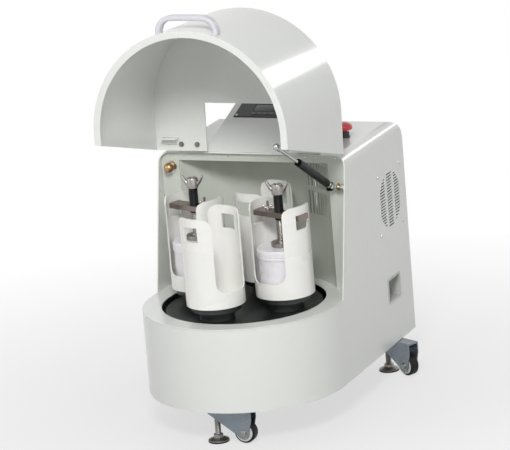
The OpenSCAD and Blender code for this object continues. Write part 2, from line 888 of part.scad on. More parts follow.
// Lid of the jar, with a grip groove round it and a rim that centres it in the jar's mouth
module jar_lid(k) {
    color(paint) at_axis() at_station(k, holder_turn)
        translate([0, 0, seat_z + 6 + jar_h - jar_lid_h]) difference() {
            union() {
                translate([0, 0, -4]) cylinder(r = jar_r - 9 - gap, h = 5);
                cylinder(r = jar_r + 2, h = jar_lid_h - 5);
                cylinder(r = jar_r - 2, h = jar_lid_h);
            }
            translate([0, 0, 5]) difference() {
                cylinder(r = jar_r + 4, h = 2);
                translate([0, 0, -cut]) cylinder(r = jar_r + 1, h = 4);
            }
        }
}

// Flat bar through both windows of holder k, with the stud of its lock nut
module clamp_bar(k) {
    color(dark_steel) at_axis() at_station(k, holder_turn) translate([0, 0, bar_top() - bar_t]) {
        difference() {
            translate([-holder_r - 5, -bar_w / 2, 0]) cube([2 * holder_r + 10, bar_w, bar_t]);
            translate([0, 0, -cut]) cylinder(r = screw_r + fit, h = bar_t + 2 * cut);
        }
        translate([-33, 0, bar_t - cut]) cylinder(r = 3, h = 22);
    }
}

// Wing-headed screw with its pressing foot
module clamp_screw(k) {
    foot_z = seat_z + 6 + jar_h;
    wing_z = bar_top() + 40;
    color(steel) at_axis() at_station(k, holder_turn) {
        translate([0, 0, foot_z + gap]) cylinder(r = 24, h = 14);
        translate([0, 0, foot_z + 4]) cylinder(r = 8, h = bar_top() - foot_z);
        translate([0, 0, bar_top() - bar_t - 6]) cylinder(r = screw_r, h = wing_z - bar_top() + bar_t + 6 + cut);
        translate([0, 0, wing_z]) wings(12, 24, 31, 6);
    }
}

// Hub with two raised wings: hub radius, hub height, half span and wing thickness
module wings(r, h, span, t) {
    cylinder(r = r, h = h);
    for (side = [0, 180])
        rotate(20 + side) rotate([90, 0, 0]) translate([0, 0, -t / 2]) linear_extrude(t)
            polygon([
                [r * 0.5, h * 0.1],
                [r, h * 0.1],
                [span * 0.92, h * 0.98],
                [span, h * 1.3],
                [span * 0.86, h * 1.4],
                [span * 0.7, h * 1.3],
                [r * 0.8, h * 0.75],
                [r * 0.5, h * 0.75]
            ]);
}

module lock_nut(k) {
    color(steel) at_axis() at_station(k, holder_turn) translate([-33, 0, bar_top() + gap]) difference() {
        wings(6, 9, 15, 3);
        translate([0, 0, -cut]) cylinder(r = 3 + fit, h = 40);
    }
}

// Places children at caster i, turned with its fork
module at_caster(i, turned = true) {
    translate([casters[i - 1][0][0], casters[i - 1][0][1], 0])
        rotate(turned ? casters[i - 1][1] : 0) children();
}

module caster_plates() {
    color(steel) at_axis() for (i = [1 : 3])
        at_caster(i, false) difference() {
            union() {
                translate([-caster_plate_w / 2, -caster_plate_w / 2, base_z - caster_plate_t])
                    cube([caster_plate_w, caster_plate_w, caster_plate_t]);
                translate([0, 0, fork_top_z - 20]) cylinder(r = sleeve_r, h = 20 + gap + cut);
            }
            translate([0, 0, fork_top_z - 30]) cylinder(r = foot_stem_r + fit, h = 60);
        }
}

// Swivelling bracket: a collar round the sleeve, a top web and two cheeks that hold the axle
module caster_fork(i) {
    inner = wheel_w / 2 + 1;
    cheek = 3;
    end_x = wheel_reach + 20;
    color("#8d949b") at_axis() at_caster(i) difference() {
        union() {
            translate([-16, -inner - cheek, fork_top_z - 4])
                cube([end_x + 16, 2 * inner + 2 * cheek, 4]);
            translate([0, 0, fork_top_z - 18]) cylinder(r = 16, h = 18);
            for (side = [-1, 1])
                translate([0, side * (inner + cheek / 2), 0]) rotate([90, 0, 0])
                    linear_extrude(cheek, center = true) union() {
                        polygon([
                            [-16, fork_top_z],
                            [-16, fork_top_z - 14],
                            [wheel_reach - 8, wheel_z - 11],
                            [wheel_reach + 12, wheel_z - 4],
                            [end_x, fork_top_z - 26],
                            [end_x, fork_top_z]
                        ]);
                        translate([wheel_reach, wheel_z]) circle(13);
                    }
            translate([wheel_reach, 0, wheel_z]) rotate([90, 0, 0])
                cylinder(r = 4, h = 2 * inner + 2 * cheek + 4, center = true);
        }
        translate([0, 0, 0]) cylinder(r = sleeve_r + fit, h = fork_top_z + cut);
    }
}

module caster_wheel(i) {
    color(tyre_black) at_axis() at_caster(i) translate([wheel_reach, 0, wheel_z]) rotate([90, 0, 0])
        difference() {
            union() {
                cylinder(r = wheel_r, h = wheel_w - 6, center = true);
                cylinder(r = wheel_r - 3, h = wheel_w, center = true);
            }
            cylinder(r = 4 + fit, h = wheel_w + 4, center = true);
            for (side = [0, 180])
                rotate([side, 0, 0]) translate([0, 0, wheel_w / 2 - 3]) difference() {
                    cylinder(r = 17, h = 4);
                    translate([0, 0, -cut]) cylinder(r = 8, h = 6);
                }
        }
}

// Levelling foot: threaded stem, adjusting nut and pad
module foot(i) {
    color(steel) at_axis() at_caster(i) {
        cylinder(r = foot_r, h = foot_pad_h * 0.5);
        translate([0, 0, foot_pad_h * 0.5]) cylinder(r1 = foot_r, r2 = 12, h = foot_pad_h * 0.5);
        translate([0, 0, foot_pad_h - 1]) cylinder(r = foot_stem_r, h = base_z - foot_pad_h + 2);
        translate([0, 0, foot_pad_h]) cylinder(r = 12, h = 7, $fn = 6);
    }
}

housing();
rear_panel();
deck_plate();
chamber_liner();
console();
drive_unit();
base_plate();
support_plate();
column();
sun_pulley();
motor();
fan_frame();
mains_pocket();
hinge_leaves();
cabinet_strut_stud();
spare_stud();
estop_collar();
caster_plates();
motor_pulley();
drive_belt();
turntable_disc();
main_shaft();
planet_bearings();
planet_belts();
spindle(1);  // spindle_1
spindle(2);  // spindle_2
spindle(3);  // spindle_3
spindle(4);  // spindle_4
holder(1);  // holder_1
holder(2);  // holder_2
holder(3);  // holder_3
holder(4);  // holder_4
jar(2);  // jar_2
jar(4);  // jar_4
jar_lid(2);  // jar_lid_2
jar_lid(4);  // jar_lid_4
clamp_bar(2);  // clamp_bar_2
clamp_bar(4);  // clamp_bar_4
clamp_screw(2);  // clamp_screw_2
clamp_screw(4);  // clamp_screw_4
lock_nut(2);  // lock_nut_2
lock_nut(4);  // lock_nut_4
lid_shell();
lid_handle();
lid_hinge_leaves();
lid_strut_stud();
strut_cylinder();
strut_rod();
caster_fork(1);  // caster_fork_1
caster_fork(2);  // caster_fork_2
caster_fork(3);  // caster_fork_3
caster_wheel(1);  // caster_wheel_1
caster_wheel(2);  // caster_wheel_2
caster_wheel(3);  // caster_wheel_3
foot(1);  // foot_1
foot(2);  // foot_2
foot(3);  // foot_3
estop_button();
fan_rotor();
speed_knob();
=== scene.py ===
"""Looks of the planetary ball mill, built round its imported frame."""

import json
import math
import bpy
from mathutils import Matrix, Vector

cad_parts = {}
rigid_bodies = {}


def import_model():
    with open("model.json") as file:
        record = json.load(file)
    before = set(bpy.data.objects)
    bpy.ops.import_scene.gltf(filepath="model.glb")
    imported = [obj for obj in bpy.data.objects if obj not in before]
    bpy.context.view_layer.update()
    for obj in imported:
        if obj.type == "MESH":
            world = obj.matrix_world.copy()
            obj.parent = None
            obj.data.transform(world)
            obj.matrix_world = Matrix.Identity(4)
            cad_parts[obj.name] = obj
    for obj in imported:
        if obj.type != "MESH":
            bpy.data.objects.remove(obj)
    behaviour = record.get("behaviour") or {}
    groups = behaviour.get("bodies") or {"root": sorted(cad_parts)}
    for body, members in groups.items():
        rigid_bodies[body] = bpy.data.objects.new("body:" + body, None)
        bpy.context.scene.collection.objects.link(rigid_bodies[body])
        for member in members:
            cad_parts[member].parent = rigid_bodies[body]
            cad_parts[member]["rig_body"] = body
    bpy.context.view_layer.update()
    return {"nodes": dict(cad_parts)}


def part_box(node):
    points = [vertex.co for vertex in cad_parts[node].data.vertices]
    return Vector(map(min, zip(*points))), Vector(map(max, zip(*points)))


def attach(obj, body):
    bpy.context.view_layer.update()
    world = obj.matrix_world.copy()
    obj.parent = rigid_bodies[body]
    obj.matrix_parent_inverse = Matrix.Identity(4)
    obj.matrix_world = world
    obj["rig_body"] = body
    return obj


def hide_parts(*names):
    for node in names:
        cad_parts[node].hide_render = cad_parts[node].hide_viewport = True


bl_info = {
    "name": "Planetary ball mill looks",
    "version": (1, 0, 0),
    "blender": (4, 5, 0),
    "location": "3D View > Sidebar > Mill",
    "description": "Paint, metals, plastics, fasteners and stage of a planetary ball mill",
    "category": "Object",
}

import bmesh
import bpy
from bpy.props import FloatProperty, FloatVectorProperty, PointerProperty
from mathutils import Matrix, Vector

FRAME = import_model()
NODES = FRAME["nodes"]

# Places and lengths are in metres in the shared frame, plain angles in degrees.
MM = 0.001
SHARP_ANGLE = 32
TURNTABLE_Y = -0.115
HINGE = Vector((0.0, 0.101 + TURNTABLE_Y, 0.6092))
HOOD_OPEN = math.radians(93)
STATION_RADIUS = 0.115
STATION_TURN = {1: -99, 2: -9, 3: 81, 4: 171}
CLAMPED = (2, 4)
HOLDER_TURN = -9
WING_TURN = 20
CASTER_TURN = {1: 0, 2: -26, 3: 206}
WHEEL_REACH = 0.070
BAR_THICKNESS = 0.012
WING_RISE = 0.040
STRUT_LOW = Vector((0.200, 0.094 + TURNTABLE_Y, 0.532))
STRUT_HIGH = Vector((0.200, -0.200 + TURNTABLE_Y, 0.700))
CONSOLE_SLOPE = math.radians(18.4)
CONSOLE_LOW = Vector((0, 0.104 + TURNTABLE_Y, 0.605))
PANEL_ALONG = 0.180
# Box on the inner face of the housing's right side that is painted near black as shade behind the
# louvres and the fan.
SHADE_BEHIND_VENTS_LOW = (0.20, -0.10)
SHADE_BEHIND_VENTS_HIGH = (0.2322, 0.335, 0.55)
LAMP_AIM = Vector((0, 0, 0.45))
CAMERA_AIM = Vector((0, TURNTABLE_Y, 0.305))
CAMERA_ANGLES = (24.42, 15.86, 4.82)
PICTURE_WIDTH = 510
PICTURE_SHIFT = (11.75, 65.33)
SENSOR_WIDTH = 36


# Shader building -------------------------------------------------------------------------------


class Wire:
    """One socket of a material, on which maths is written as plain expressions."""

    def __init__(self, look, socket):
        self.look = look
        self.socket = socket

    def _math(self, operation, first, second=None, clamp=False):
        values = {0: first} if second is None else {0: first, 1: second}
        settings = {"operation": operation, "use_clamp": clamp}
        return self.look.add("ShaderNodeMath", settings, values).out(0)

    def __add__(self, other):
        return self._math("ADD", self, other)

    def __radd__(self, other):
        return self._math("ADD", other, self)

    def __sub__(self, other):
        return self._math("SUBTRACT", self, other)

    def __rsub__(self, other):
        return self._math("SUBTRACT", other, self)

    def __mul__(self, other):
        return self._math("MULTIPLY", self, other)

    def __pow__(self, other):
        return self._math("POWER", self, other)

    def above(self, level):
        return self._math("GREATER_THAN", self, level)

    def clamped(self):
        return self._math("ADD", self, 0.0, clamp=True)

    def span(self, low, high):
        """0 at low, 1 at high, and straight between them."""
        return self._math("DIVIDE", self - low, high - low, clamp=True)


class Added:
    """A node that was added, with its outputs as wires."""

    def __init__(self, look, node):
        self.look = look
        self.node = node

    def out(self, key=0):
        return Wire(self.look, self.node.outputs[key])


class Look:
    """A material round one Principled shader."""

    def __init__(self, name, **fixed):
        self.material = bpy.data.materials.new(name)
        self.material.use_nodes = True
        self.tree = self.material.node_tree
        self.shader = self.tree.nodes["Principled BSDF"]
        for socket, value in fixed.items():
            self.set(socket.replace("_", " "), value)

    def feed(self, socket, value):
        """Gives a socket the output of a node, or a constant."""
        if isinstance(value, Wire):
            self.tree.links.new(value.socket, socket)
        elif hasattr(value, "__len__") and len(value) == 3 and len(socket.default_value) == 4:
            socket.default_value = (*value, 1.0)
        else:
            socket.default_value = value

    def set(self, name, value):
        self.feed(self.shader.inputs[name], value)

    def add(self, kind, settings=None, values=None):
        node = self.tree.nodes.new(kind)
        for key, value in (settings or {}).items():
            setattr(node, key, value)
        for key, value in (values or {}).items():
            self.feed(node.inputs[key], value)
        return Added(self, node)

    def place(self):
        """Rest position on the piece, in metres."""
        return self.add("ShaderNodeTexCoord").out("Object")

    def axis(self, letter):
        return self.add("ShaderNodeSeparateXYZ", None, {0: self.place()}).out(letter)

    def noise(self, scale, detail=3.0, roughness=0.55):
        values = {
            "Vector": self.place(),
            "Scale": scale,
            "Detail": detail,
            "Roughness": roughness,
        }
        return self.add("ShaderNodeTexNoise", None, values).out("Fac")

    def blend(self, share, first, second):
        settings = {"data_type": "RGBA", "clamp_factor": True}
        return self.add("ShaderNodeMix", settings, {0: share, 6: first, 7: second}).out(2)

    def bump(self, height, strength, distance):
        values = {"Height": height, "Strength": strength, "Distance": distance}
        self.set("Normal", self.add("ShaderNodeBump", None, values).out("Normal"))


LOOKS = {}


def look_for(name, maker, *values, **named):
    """Each material is made once and shared by all pieces that have its finish."""
    if name not in LOOKS:
        LOOKS[name] = maker(name, *values, **named).material
    return LOOKS[name]


def shade(colour, share):
    return tuple(min(1.0, part * share) for part in colour)


def sheet_paint(name, colour, grime=0.05, roughness=0.24, primed=False):
    """Sprayed enamel on sheet metal: faint orange peel and cloudiness, a little dust low down, and
    on request painted shade behind the vents.
    """
    look = Look(name, Roughness=roughness, Coat_Weight=0.4, Coat_Roughness=0.09)
    cloud = look.noise(3.2, 4)
    fine = look.noise(60, 3)
    low = 1 - look.axis("Z").span(0.08, 0.34)
    dust = (cloud * fine * low * 2.2 + cloud.span(0.55, 0.8) * 0.3).clamped() * grime
    tone = look.blend(fine.span(0.35, 0.65), shade(colour, 0.985), colour)
    tone = look.blend(dust, tone, shade(colour, 0.5))
    # Painted shade: the inner face of the right side is painted near black where it is seen
    # through the louvres and the fan.
    if primed:
        tone = look.blend(shade_behind_vents_mask(look), tone, (0.035, 0.036, 0.038))
    look.set("Base Color", tone)
    look.set("Roughness", roughness + (cloud - 0.5) * 0.14 + dust * 0.1)
    look.bump(look.noise(420, 1.5), 0.05, 0.0006)
    return look


def shade_behind_vents_mask(look):
    """1 on the inner face of the housing's right side, where it is painted near black as shade
    behind the louvres and the fan.
    """
    parts = look.add("ShaderNodeSeparateXYZ", None, {0: look.place()})
    across, along, height = (parts.out(letter) for letter in "XYZ")
    side = across.above(SHADE_BEHIND_VENTS_LOW[0]) * (1 - across.above(SHADE_BEHIND_VENTS_HIGH[0]))
    part = along.above(SHADE_BEHIND_VENTS_LOW[1]) * (1 - along.above(SHADE_BEHIND_VENTS_HIGH[1]))
    return side * part * (1 - height.above(SHADE_BEHIND_VENTS_HIGH[2]))


def brushed(name, colour, roughness=0.34, metallic=1.0, stain=None, depth=0.12):
    """Plated or machined metal with fine marks and slight staining."""
    look = Look(name, Metallic=metallic)
    marks = look.noise(160, 4, 0.6)
    cloud = look.noise(28, 4)
    tone = look.blend(cloud.span(0.35, 0.7), shade(colour, 0.86), colour)
    stain = stain or shade(colour, 0.6)
    look.set("Base Color", look.blend(cloud.span(0.52, 0.72) * 0.5, tone, stain))
    look.set("Roughness", roughness + (marks - 0.5) * 0.22 + (cloud - 0.5) * 0.18)
    look.bump(marks, depth, 0.0004)
    return look


def moulded(name, colour, roughness=0.42, grain=900, depth=0.12, coat=0.0, shine=0.5):
    """Moulded plastic or rubber with a fine grain and handling marks."""
    look = Look(name, Coat_Weight=coat, Coat_Roughness=0.2, Specular_IOR_Level=shine)
    marks = look.noise(35, 5, 0.6)
    look.set("Base Color", look.blend(marks.span(0.4, 0.75), colour, shade(colour, 0.88)))
    look.set("Roughness", roughness + (marks - 0.5) * 0.2)
    look.bump(look.noise(grain, 2), depth, 0.0003)
    return look


def turned(name, colour, centre, roughness=0.36, metallic=0.75, pitch=0.0016):
    """Disc that was turned on a lathe: rings round its centre, with handling marks on it."""
    look = Look(name, Metallic=metallic)
    values = {0: look.place(), 1: centre}
    offset = look.add("ShaderNodeVectorMath", {"operation": "SUBTRACT"}, values)
    parts = look.add("ShaderNodeSeparateXYZ", None, {0: offset.out("Vector")})
    across, along = parts.out("X"), parts.out("Y")
    radius = (across * across + along * along) ** 0.5
    values = {0: radius * (2 * math.pi / pitch)}
    sine = look.add("ShaderNodeMath", {"operation": "SINE"}, values).out(0)
    marks = look.noise(22, 5, 0.65)
    look.set("Base Color", look.blend(marks.span(0.45, 0.75) * 0.6, colour, shade(colour, 1.9)))
    look.set("Roughness", roughness + (marks - 0.5) * 0.3 + sine * 0.02)
    look.bump(sine * 0.5 + marks * 0.5, 0.08, 0.0003)
    return look


# Mesh building ---------------------------------------------------------------------------------


def add_piece(name, shape, body, material, smooth=35):
    """Makes a piece of a shape that is already in place, and lets it ride on a body."""
    mesh = finished(shape, name)
    mesh.shade_smooth()
    mesh.set_sharp_from_angle(angle=math.radians(smooth))
    mesh.materials.append(material)
    piece = bpy.data.objects.new(name, mesh)
    bpy.context.scene.collection.objects.link(piece)
    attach(piece, body)
    return piece


def finished(shape, name):
    mesh = bpy.data.meshes.new(name)
    shape.to_mesh(mesh)
    shape.free()
    return mesh


def placed(shape, matrix):
    bmesh.ops.transform(shape, matrix=matrix, verts=shape.verts)
    return shape


def joined(*shapes):
    """Puts several loose shapes into one."""
    whole = shapes[0]
    for other in shapes[1:]:
        mesh = bpy.data.meshes.new("joining")
        other.to_mesh(mesh)
        other.free()
        whole.from_mesh(mesh)
        bpy.data.meshes.remove(mesh)
    return whole


def raised(profile, height):
    """Profile for a lathe, moved up."""
    return [(reach, height + rise) for reach, rise in profile]


def around(radius, turn, height):
    """Point at a radius and a turn, in radians, about Z."""
    return (radius * math.cos(turn), radius * math.sin(turn), height)


def lathe(profile, steps=48):
    """Closed body of revolution about Z from (radius, height) points, first to last."""
    shape = bmesh.new()
    rings = []
    for radius, height in profile:
        if radius < 1e-7:
            rings.append([shape.verts.new((0, 0, height))])
            continue
        ring = []
        for step in range(steps):
            ring.append(shape.verts.new(around(radius, 2 * math.pi * step / steps, height)))
        rings.append(ring)
    for low, high in zip(rings, rings[1:]):
        for step in range(steps):
            after = (step + 1) % steps
            corners = [
                low[step % len(low)],
                low[after % len(low)],
                high[after % len(high)],
                high[step % len(high)],
            ]
            unique = [v for i, v in enumerate(corners) if v not in corners[:i]]
            if len(unique) > 2:
                shape.faces.new(unique)
    bmesh.ops.recalc_face_normals(shape, faces=shape.faces)
    return shape


def bevelled(shape, width, segments=2):
    """Rounds every edge that is sharper than SHARP_ANGLE."""
    shape.normal_update()
    limit = math.radians(SHARP_ANGLE)
    edges = [e for e in shape.edges if len(e.link_faces) == 2 and e.calc_face_angle(0) > limit]
    bmesh.ops.bevel(
        shape,
        geom=edges,
        offset=width,
        offset_type="OFFSET",
        segments=segments,
        profile=0.5,
        affect="EDGES",
        clamp_overlap=True,
    )
    return shape


def block(size, centre, bevel=0.0):
    """Box about its centre, with rounded edges if a bevel is given."""
    shape = bmesh.new()
    bmesh.ops.create_cube(shape, size=1.0)
    bmesh.ops.scale(shape, vec=size, verts=shape.verts)
    if bevel:
        bevelled(shape, bevel)
    return placed(shape, Matrix.Translation(centre))


def curved(points, steps=6):
    """Points of a smooth curve through the given points."""
    ends = [points[0] * 2 - points[1], *points, points[-1] * 2 - points[-2]]
    path = [points[0]]
    for before, first, second, after in zip(ends, ends[1:], ends[2:], ends[3:]):
        for step in range(1, steps + 1):
            t = step / steps
            bend = (2 * before - 5 * first + 4 * second - after) * t * t
            twist = (3 * first - before - 3 * second + after) * t**3
            path.append((2 * first + (second - before) * t + bend + twist) / 2)
    return path


def round_outline(wide, high, corner, steps=5):
    """Corners of a rectangle about (0, 0) with round corners."""
    outline = []
    for side_x, side_y, start in ((1, 1, 0), (-1, 1, 90), (-1, -1, 180), (1, -1, 270)):
        for part in range(steps):
            turn = math.radians(start + part * 90 / (steps - 1))
            x = side_x * (wide / 2 - corner) + corner * math.cos(turn)
            y = side_y * (high / 2 - corner) + corner * math.sin(turn)
            outline.append((x, y))
    return outline


def swept(path, outline, across, sizes=None):
    """Bar of one outline along a path in the plane that faces across, scaled by sizes."""
    shape = bmesh.new()
    rings = []
    for index, point in enumerate(path):
        along = path[min(index + 1, len(path) - 1)] - path[max(index - 1, 0)]
        out = along.normalized().cross(across)
        size = sizes[index] if sizes else 1
        rings.append([shape.verts.new(point + (out * u + across * v) * size) for u, v in outline])
    for low, high in zip(rings, rings[1:]):
        for step in range(len(outline)):
            after = (step + 1) % len(outline)
            shape.faces.new((low[step], low[after], high[after], high[step]))
    shape.faces.new(list(reversed(rings[0])))
    shape.faces.new(rings[-1])
    bmesh.ops.recalc_face_normals(shape, faces=shape.faces)
    return shape


def extruded(outline, thickness, bevel=0.0):
    """Plate from an outline of (x, z) points, centred on the plane y = 0."""
    shape = bmesh.new()
    front = [shape.verts.new((x, -thickness / 2, z)) for x, z in outline]
    face = shape.faces.new(front)
    moved = bmesh.ops.extrude_face_region(shape, geom=[face])
    corners = [v for v in moved["geom"] if isinstance(v, bmesh.types.BMVert)]
    bmesh.ops.translate(shape, vec=(0, thickness, 0), verts=corners)
    bmesh.ops.recalc_face_normals(shape, faces=shape.faces)
    if bevel:
        bevelled(shape, bevel, 3)
    return shape


def threaded(radius, low, high, pitch, depth, steps=40, per_turn=8):
    """Screw thread about Z: a tube whose radius follows a helix, closed at both ends."""
    shape = bmesh.new()
    rows = max(2, int((high - low) / pitch * per_turn))
    rings = []
    for row in range(rows + 1):
        height = low + (high - low) * row / rows
        ring = []
        for step in range(steps):
            turn = step / steps
            phase = (height / pitch - turn) % 1.0
            ridge = 1 - abs(2 * phase - 1)
            reach = radius - depth * (1 - min(1.0, ridge * 1.5))
            ring.append(shape.verts.new(around(reach, 2 * math.pi * turn, height)))
        rings.append(ring)
    for lower, upper in zip(rings, rings[1:]):
        for step in range(steps):
            after = (step + 1) % steps
            shape.faces.new((lower[step], lower[after], upper[after], upper[step]))
    shape.faces.new(list(reversed(rings[0])))
    shape.faces.new(rings[-1])
    return shape


def softened(node, material, width, segments=2):
    """Copy of a CAD node with its sharp edges rounded, which stands for the node."""
    source = NODES[node]
    shape = bmesh.new()
    shape.from_mesh(source.data)
    bmesh.ops.remove_doubles(shape, verts=shape.verts, dist=2e-6)
    bmesh.ops.dissolve_limit(
        shape, angle_limit=math.radians(0.4), verts=shape.verts, edges=shape.edges
    )
    bevelled(shape, width, segments)
    name = node + "_finished"
    piece = add_piece(name, shape, source["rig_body"], material, SHARP_ANGLE)
    piece.modifiers.new("even_faces", "WEIGHTED_NORMAL").keep_sharp = True
    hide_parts(node)
    return piece


def finish_node(node, material):
    """Gives a CAD node that stays in view its material."""
    for slot in NODES[node].material_slots:
        slot.material = material


def screw_head(radius, height, recess=True, steps=24):
    """Pan head that stands on z = 0 with a cross recess."""
    profile = [(radius, 0), (radius, height * 0.45)]
    for part in range(1, 6):
        turn = part / 5 * math.pi / 2
        reach = radius * (0.35 + 0.65 * math.cos(turn))
        profile.append((reach, height * (0.45 + 0.55 * math.sin(turn))))
    profile.append((0, height))
    head = lathe([(0, 0)] + profile, steps)
    if not recess:
        return head
    for turn in (45, 135):
        slot = block((radius * 1.1, radius * 0.2, height * 0.1), (0, 0, height * 0.99))
        head = joined(head, placed(slot, Matrix.Rotation(math.radians(turn), 4, "Z")))
    return head


def rounded_block(size, corner, bevel=0.0):
    """Plate of size (x, y, z) that stands on z = 0, with round corners in plan."""
    wide, deep, high = size
    plate = extruded([(x, -y) for x, y in round_outline(wide, deep, corner)], high, bevel)
    lift = Matrix.Translation((0, 0, high / 2))
    return placed(plate, lift @ Matrix.Rotation(math.pi / 2, 4, "X"))


def hex_head(radius, height, washer=0.0):
    """Hexagon head on a washer, standing on z = 0."""
    low = 0.0006
    flank = [(radius, low), (radius, height * 0.86), (radius * 0.86, height)]
    head = lathe([(0, low), *flank, (0, height)], 6)
    if not washer:
        return head
    ring = lathe([(0, 0), (washer, 0), (washer, 0.0008), (washer * 0.96, 0.0011), (0, 0.0011)], 32)
    return joined(ring, head)


def face_matrix(across, along, height=0.0):
    """Matrix from the console's sloped face to the frame."""
    rise = PANEL_ALONG * math.tan(CONSOLE_SLOPE)
    middle = CONSOLE_LOW + Vector((0, PANEL_ALONG, rise))
    turn = Matrix.Rotation(CONSOLE_SLOPE, 4, "X")
    return Matrix.Translation(middle) @ turn @ Matrix.Translation((across, along, height))


def facing(direction, position):
    """Matrix that turns +Z to a direction and moves it to a position."""
    turn = Vector(direction).to_track_quat("Z", "Y").to_matrix().to_4x4()
    return Matrix.Translation(position) @ turn


def station(k, turn=0):
    """Matrix from a holder's own axes, with z in metres from the floor, to the frame."""
    angle = math.radians(STATION_TURN[k])
    centre = Vector(around(STATION_RADIUS, angle, 0)) + Vector((0, TURNTABLE_Y, 0))
    return Matrix.Translation(centre) @ Matrix.Rotation(angle + math.radians(turn), 4, "Z")


def opening():
    """Matrix that turns the shut hood to the open one."""
    turn = Matrix.Rotation(-HOOD_OPEN, 4, "X")
    return Matrix.Translation(HINGE) @ turn @ Matrix.Translation(-HINGE)


def opened(point):
    """Place in the open hood of a point of the shut hood, both in the frame."""
    return opening() @ Vector(point)


# Settings --------------------------------------------------------------------------------------


def colour_setting(name, description, default):
    return FloatVectorProperty(
        name=name, description=description, subtype="COLOR", size=3, min=0, max=1, default=default
    )


def length_setting(name, description, default, low, high):
    return FloatProperty(
        name=name,
        description=description,
        subtype="DISTANCE",
        unit="LENGTH",
        default=default,
        min=low,
        max=high,
    )


class MillColours(bpy.types.PropertyGroup):
    housing: colour_setting("Housing", "Enamel of cabinet and hood", (0.80, 0.815, 0.785))
    # Painted shade: the chamber's colour is a darker, greener copy of the housing's enamel,
    # standing in for the shade inside the chamber.
    inside: colour_setting("Chamber", "Enamel inside the chamber", (0.62, 0.65, 0.58))
    holder: colour_setting("Holders", "Enamel of the jar holders", (0.90, 0.895, 0.86))
    jar: colour_setting("Jars", "Polymer of the grinding jars", (0.89, 0.87, 0.905))
    disc: colour_setting("Turntable", "Black anodised turntable", (0.045, 0.050, 0.050))
    clamp: colour_setting("Clamps", "Steel of the clamping bars", (0.27, 0.225, 0.20))
    wing: colour_setting("Wing nuts", "Steel of the wing nuts", (0.36, 0.34, 0.32))
    stop: colour_setting("Emergency stop", "Red plastic of the stop button", (0.62, 0.02, 0.03))
    caster: colour_setting("Casters", "Enamel of the caster forks", (0.25, 0.29, 0.33))
    handle: colour_setting("Hood handle", "Plastic of the hood's handle", (0.70, 0.69, 0.74))


class MillSizes(bpy.types.PropertyGroup):
    sheet_edge: length_setting("Sheet edge", "Rounding of sheet edges", 0.0012, 0.0002, 0.003)
    holder_edge: length_setting("Holder edge", "Rounding of holder edges", 0.0014, 0.0002, 0.0017)
    thread_pitch: length_setting("Thread pitch", "Pitch of clamp screws", 0.003, 0.001, 0.006)
    camera_distance: length_setting("Camera distance", "Camera to machine", 8.07, 3.0, 20.0)
    lens: FloatProperty(
        name="Lens", description="Focal length", subtype="DISTANCE_CAMERA", default=247.5
    )


# Pieces ----------------------------------------------------------------------------------------


class MillStep:
    """Settings and shared finishes of the steps."""

    bl_options = {"REGISTER", "UNDO"}

    @property
    def colours(self):
        return bpy.context.scene.mill_colours

    @property
    def sizes(self):
        return bpy.context.scene.mill_sizes

    def enamel(self):
        return look_for("housing_enamel", sheet_paint, tuple(self.colours.housing))

    def plated(self):
        return look_for("plated_steel", brushed, (0.62, 0.62, 0.60), 0.3)


